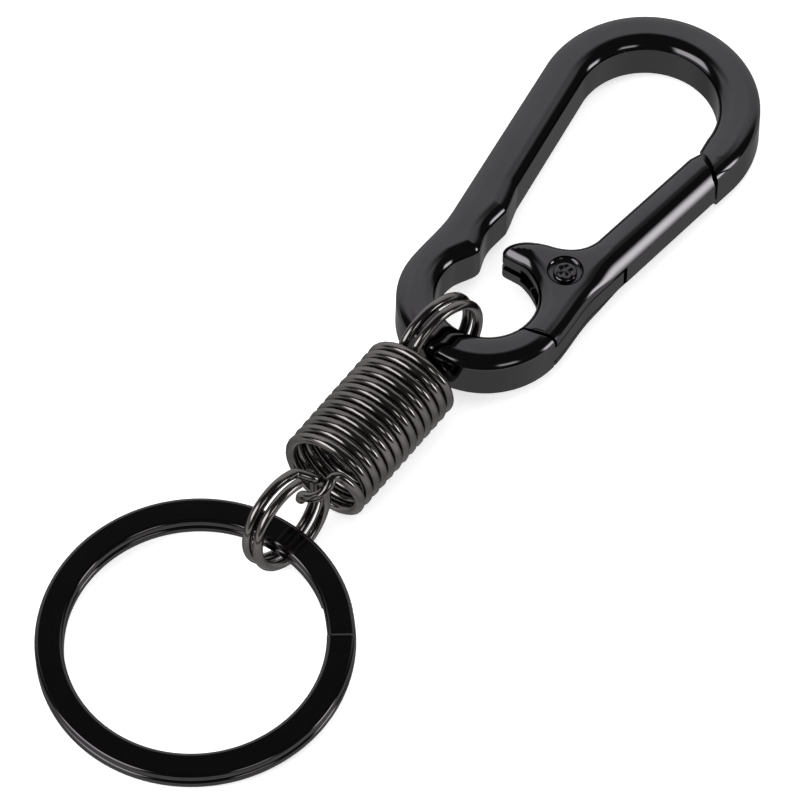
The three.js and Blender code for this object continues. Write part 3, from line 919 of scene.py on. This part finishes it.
class Light:
    """Node sums for a tree in which light depends on direction."""

    def __init__(self, tree, direction):
        self.tree = tree
        split = tree.nodes.new("ShaderNodeSeparateXYZ")
        tree.links.new(direction, split.inputs[0])
        self.x, self.y, self.z = split.outputs
        self.elevation = self.sum("MULTIPLY", self.sum("ARCSINE", self.z), 1 / DEG)

    def sum(self, kind, *values):
        node = self.tree.nodes.new("ShaderNodeMath")
        node.operation = kind
        for socket, value in zip(node.inputs, values):
            if isinstance(value, (int, float)):
                socket.default_value = value
            else:
                self.tree.links.new(value, socket)
        return node.outputs[0]

    def rise(self, value, start, end):
        """0 before start and 1 after end, softly; start may be above end."""
        node = self.tree.nodes.new("ShaderNodeMapRange")
        node.interpolation_type = "SMOOTHSTEP"
        flip = start > end
        node.inputs["From Min"].default_value = min(start, end)
        node.inputs["From Max"].default_value = max(start, end)
        node.inputs["To Min"].default_value = 1 if flip else 0
        node.inputs["To Max"].default_value = 0 if flip else 1
        self.tree.links.new(value, node.inputs["Value"])
        return node.outputs["Result"]

    def turn(self, azimuth):
        """Degrees to the left of an azimuth, -180 to 180."""
        c, s = math.cos(azimuth * DEG), math.sin(azimuth * DEG)
        along = self.sum("ADD", self.sum("MULTIPLY", self.x, c), self.sum("MULTIPLY", self.y, s))
        aside = self.sum("SUBTRACT", self.sum("MULTIPLY", self.y, c), self.sum("MULTIPLY", self.x, s))
        return self.sum("MULTIPLY", self.sum("ARCTAN2", aside, along), 1 / DEG)

    def window(self, azimuth, half, soft):
        off = self.sum("ABSOLUTE", self.turn(azimuth))
        return self.rise(off, half + soft, half - soft)


def panel(light, azimuth, half, low, high, soft_side, soft_low, soft_high):
    """A soft-edged panel of light between two elevations."""
    across = light.window(azimuth, half, soft_side)
    up = light.rise(light.elevation, low - soft_low, low + soft_low)
    down = light.rise(light.elevation, high + soft_high, high - soft_high)
    return light.sum("MULTIPLY", across, light.sum("MULTIPLY", up, down))


scene.world = bpy.data.worlds.new("studio")
scene.world.use_nodes = True
tree = scene.world.node_tree
tree.nodes.clear()
light = Light(tree, tree.nodes.new("ShaderNodeTexCoord").outputs["Generated"])
# A pale backdrop behind the object, brightest towards its far left end.
glow = light.sum("MULTIPLY_ADD", light.window(134, 40, 38), 0.4, 0.74)
backdrop = panel(light, 125, 62, -90, 57, 9, 1, 7)
total = light.sum("MULTIPLY_ADD", backdrop, glow, 0.07)
# A tall light at the right, a box at the front left on its stand, and a small one between.
for shape, strength in (
    (panel(light, 20.5, 8, 5, 22, 3, 6, 8), 9.5),
    (panel(light, -117, 25, 20, 50, 5, 5, 5), 5.5),
    (panel(light, -117, 25, -90, 16, 5, 1, 4), 0.55),
    (panel(light, -27, 11, 28, 42, 4, 3, 5), 4.0),
):
    total = light.sum("MULTIPLY_ADD", shape, strength, total)
sky = tree.nodes.new("ShaderNodeBackground")
tree.links.new(total, sky.inputs["Strength"])
tree.links.new(sky.outputs[0], tree.nodes.new("ShaderNodeOutputWorld").inputs["Surface"])

low_z = cad_box[0].z
bpy.ops.mesh.primitive_plane_add(size=6, location=(0, 0, low_z))
floor = bpy.context.object
floor.name = "studio_floor"
mat = bpy.data.materials.new("paper")
mat.use_nodes = True
tree = mat.node_tree
paper = tree.nodes["Principled BSDF"]
paper.inputs["Base Color"].default_value = (0.85, 0.85, 0.85, 1)
paper.inputs["Roughness"].default_value = 0.9
paper.inputs["Emission Color"].default_value = (1, 1, 1, 1)
paper.inputs["Emission Strength"].default_value = 0.62
# Seen in the metal, the paper is greyer and carries painted shade: a glow that is darker for rays
# heading away from the camera side and for steep downward rays, standing in for the shade on the floor
# near the object.
geometry = tree.nodes.new("ShaderNodeNewGeometry")
away = tree.nodes.new("ShaderNodeVectorMath")
away.operation = "SCALE"
away.inputs["Scale"].default_value = -1
tree.links.new(geometry.outputs["Incoming"], away.inputs[0])
light = Light(tree, away.outputs[0])
# Painted shade on the floor as the metal sees it: brighter towards the camera side and at grazing
# angles.
painted_floor_shade = light.sum("MULTIPLY_ADD", light.window(-50, 90, 30), 0.28, 0.2)
painted_floor_shade = light.sum("MULTIPLY_ADD", light.rise(light.elevation, -48, -8), 0.4, painted_floor_shade)
# The glow that carries the painted shade, shown in reflections only.
painted_shade_glow = tree.nodes.new("ShaderNodeEmission")
tree.links.new(painted_floor_shade, painted_shade_glow.inputs["Strength"])
path = tree.nodes.new("ShaderNodeLightPath")
choose = tree.nodes.new("ShaderNodeMixShader")
tree.links.new(path.outputs["Is Camera Ray"], choose.inputs["Fac"])
tree.links.new(painted_shade_glow.outputs[0], choose.inputs[1])
tree.links.new(paper.outputs[0], choose.inputs[2])
tree.links.new(choose.outputs[0], tree.nodes["Material Output"].inputs["Surface"])
floor.data.materials.append(mat)

data = bpy.data.lights.new("overhead", "AREA")
data.size = 2.4
data.energy = 26
overhead = bpy.data.objects.new("overhead", data)
scene.collection.objects.link(overhead)
overhead.location = (0, 0, 1.6)
overhead.visible_glossy = False

camera_data = bpy.data.cameras.new("camera")
camera = bpy.data.objects.new("camera", camera_data)
scene.collection.objects.link(camera)
camera_data.lens = 715.5
camera_data.sensor_width = 36
camera_data.clip_end = 20
aim = TO_ROW @ Vector((-2.34, -38.3, 0))
camera.location = aim + view_vector(34.3, 56) * 1.5
look(camera, aim)
scene.camera = camera
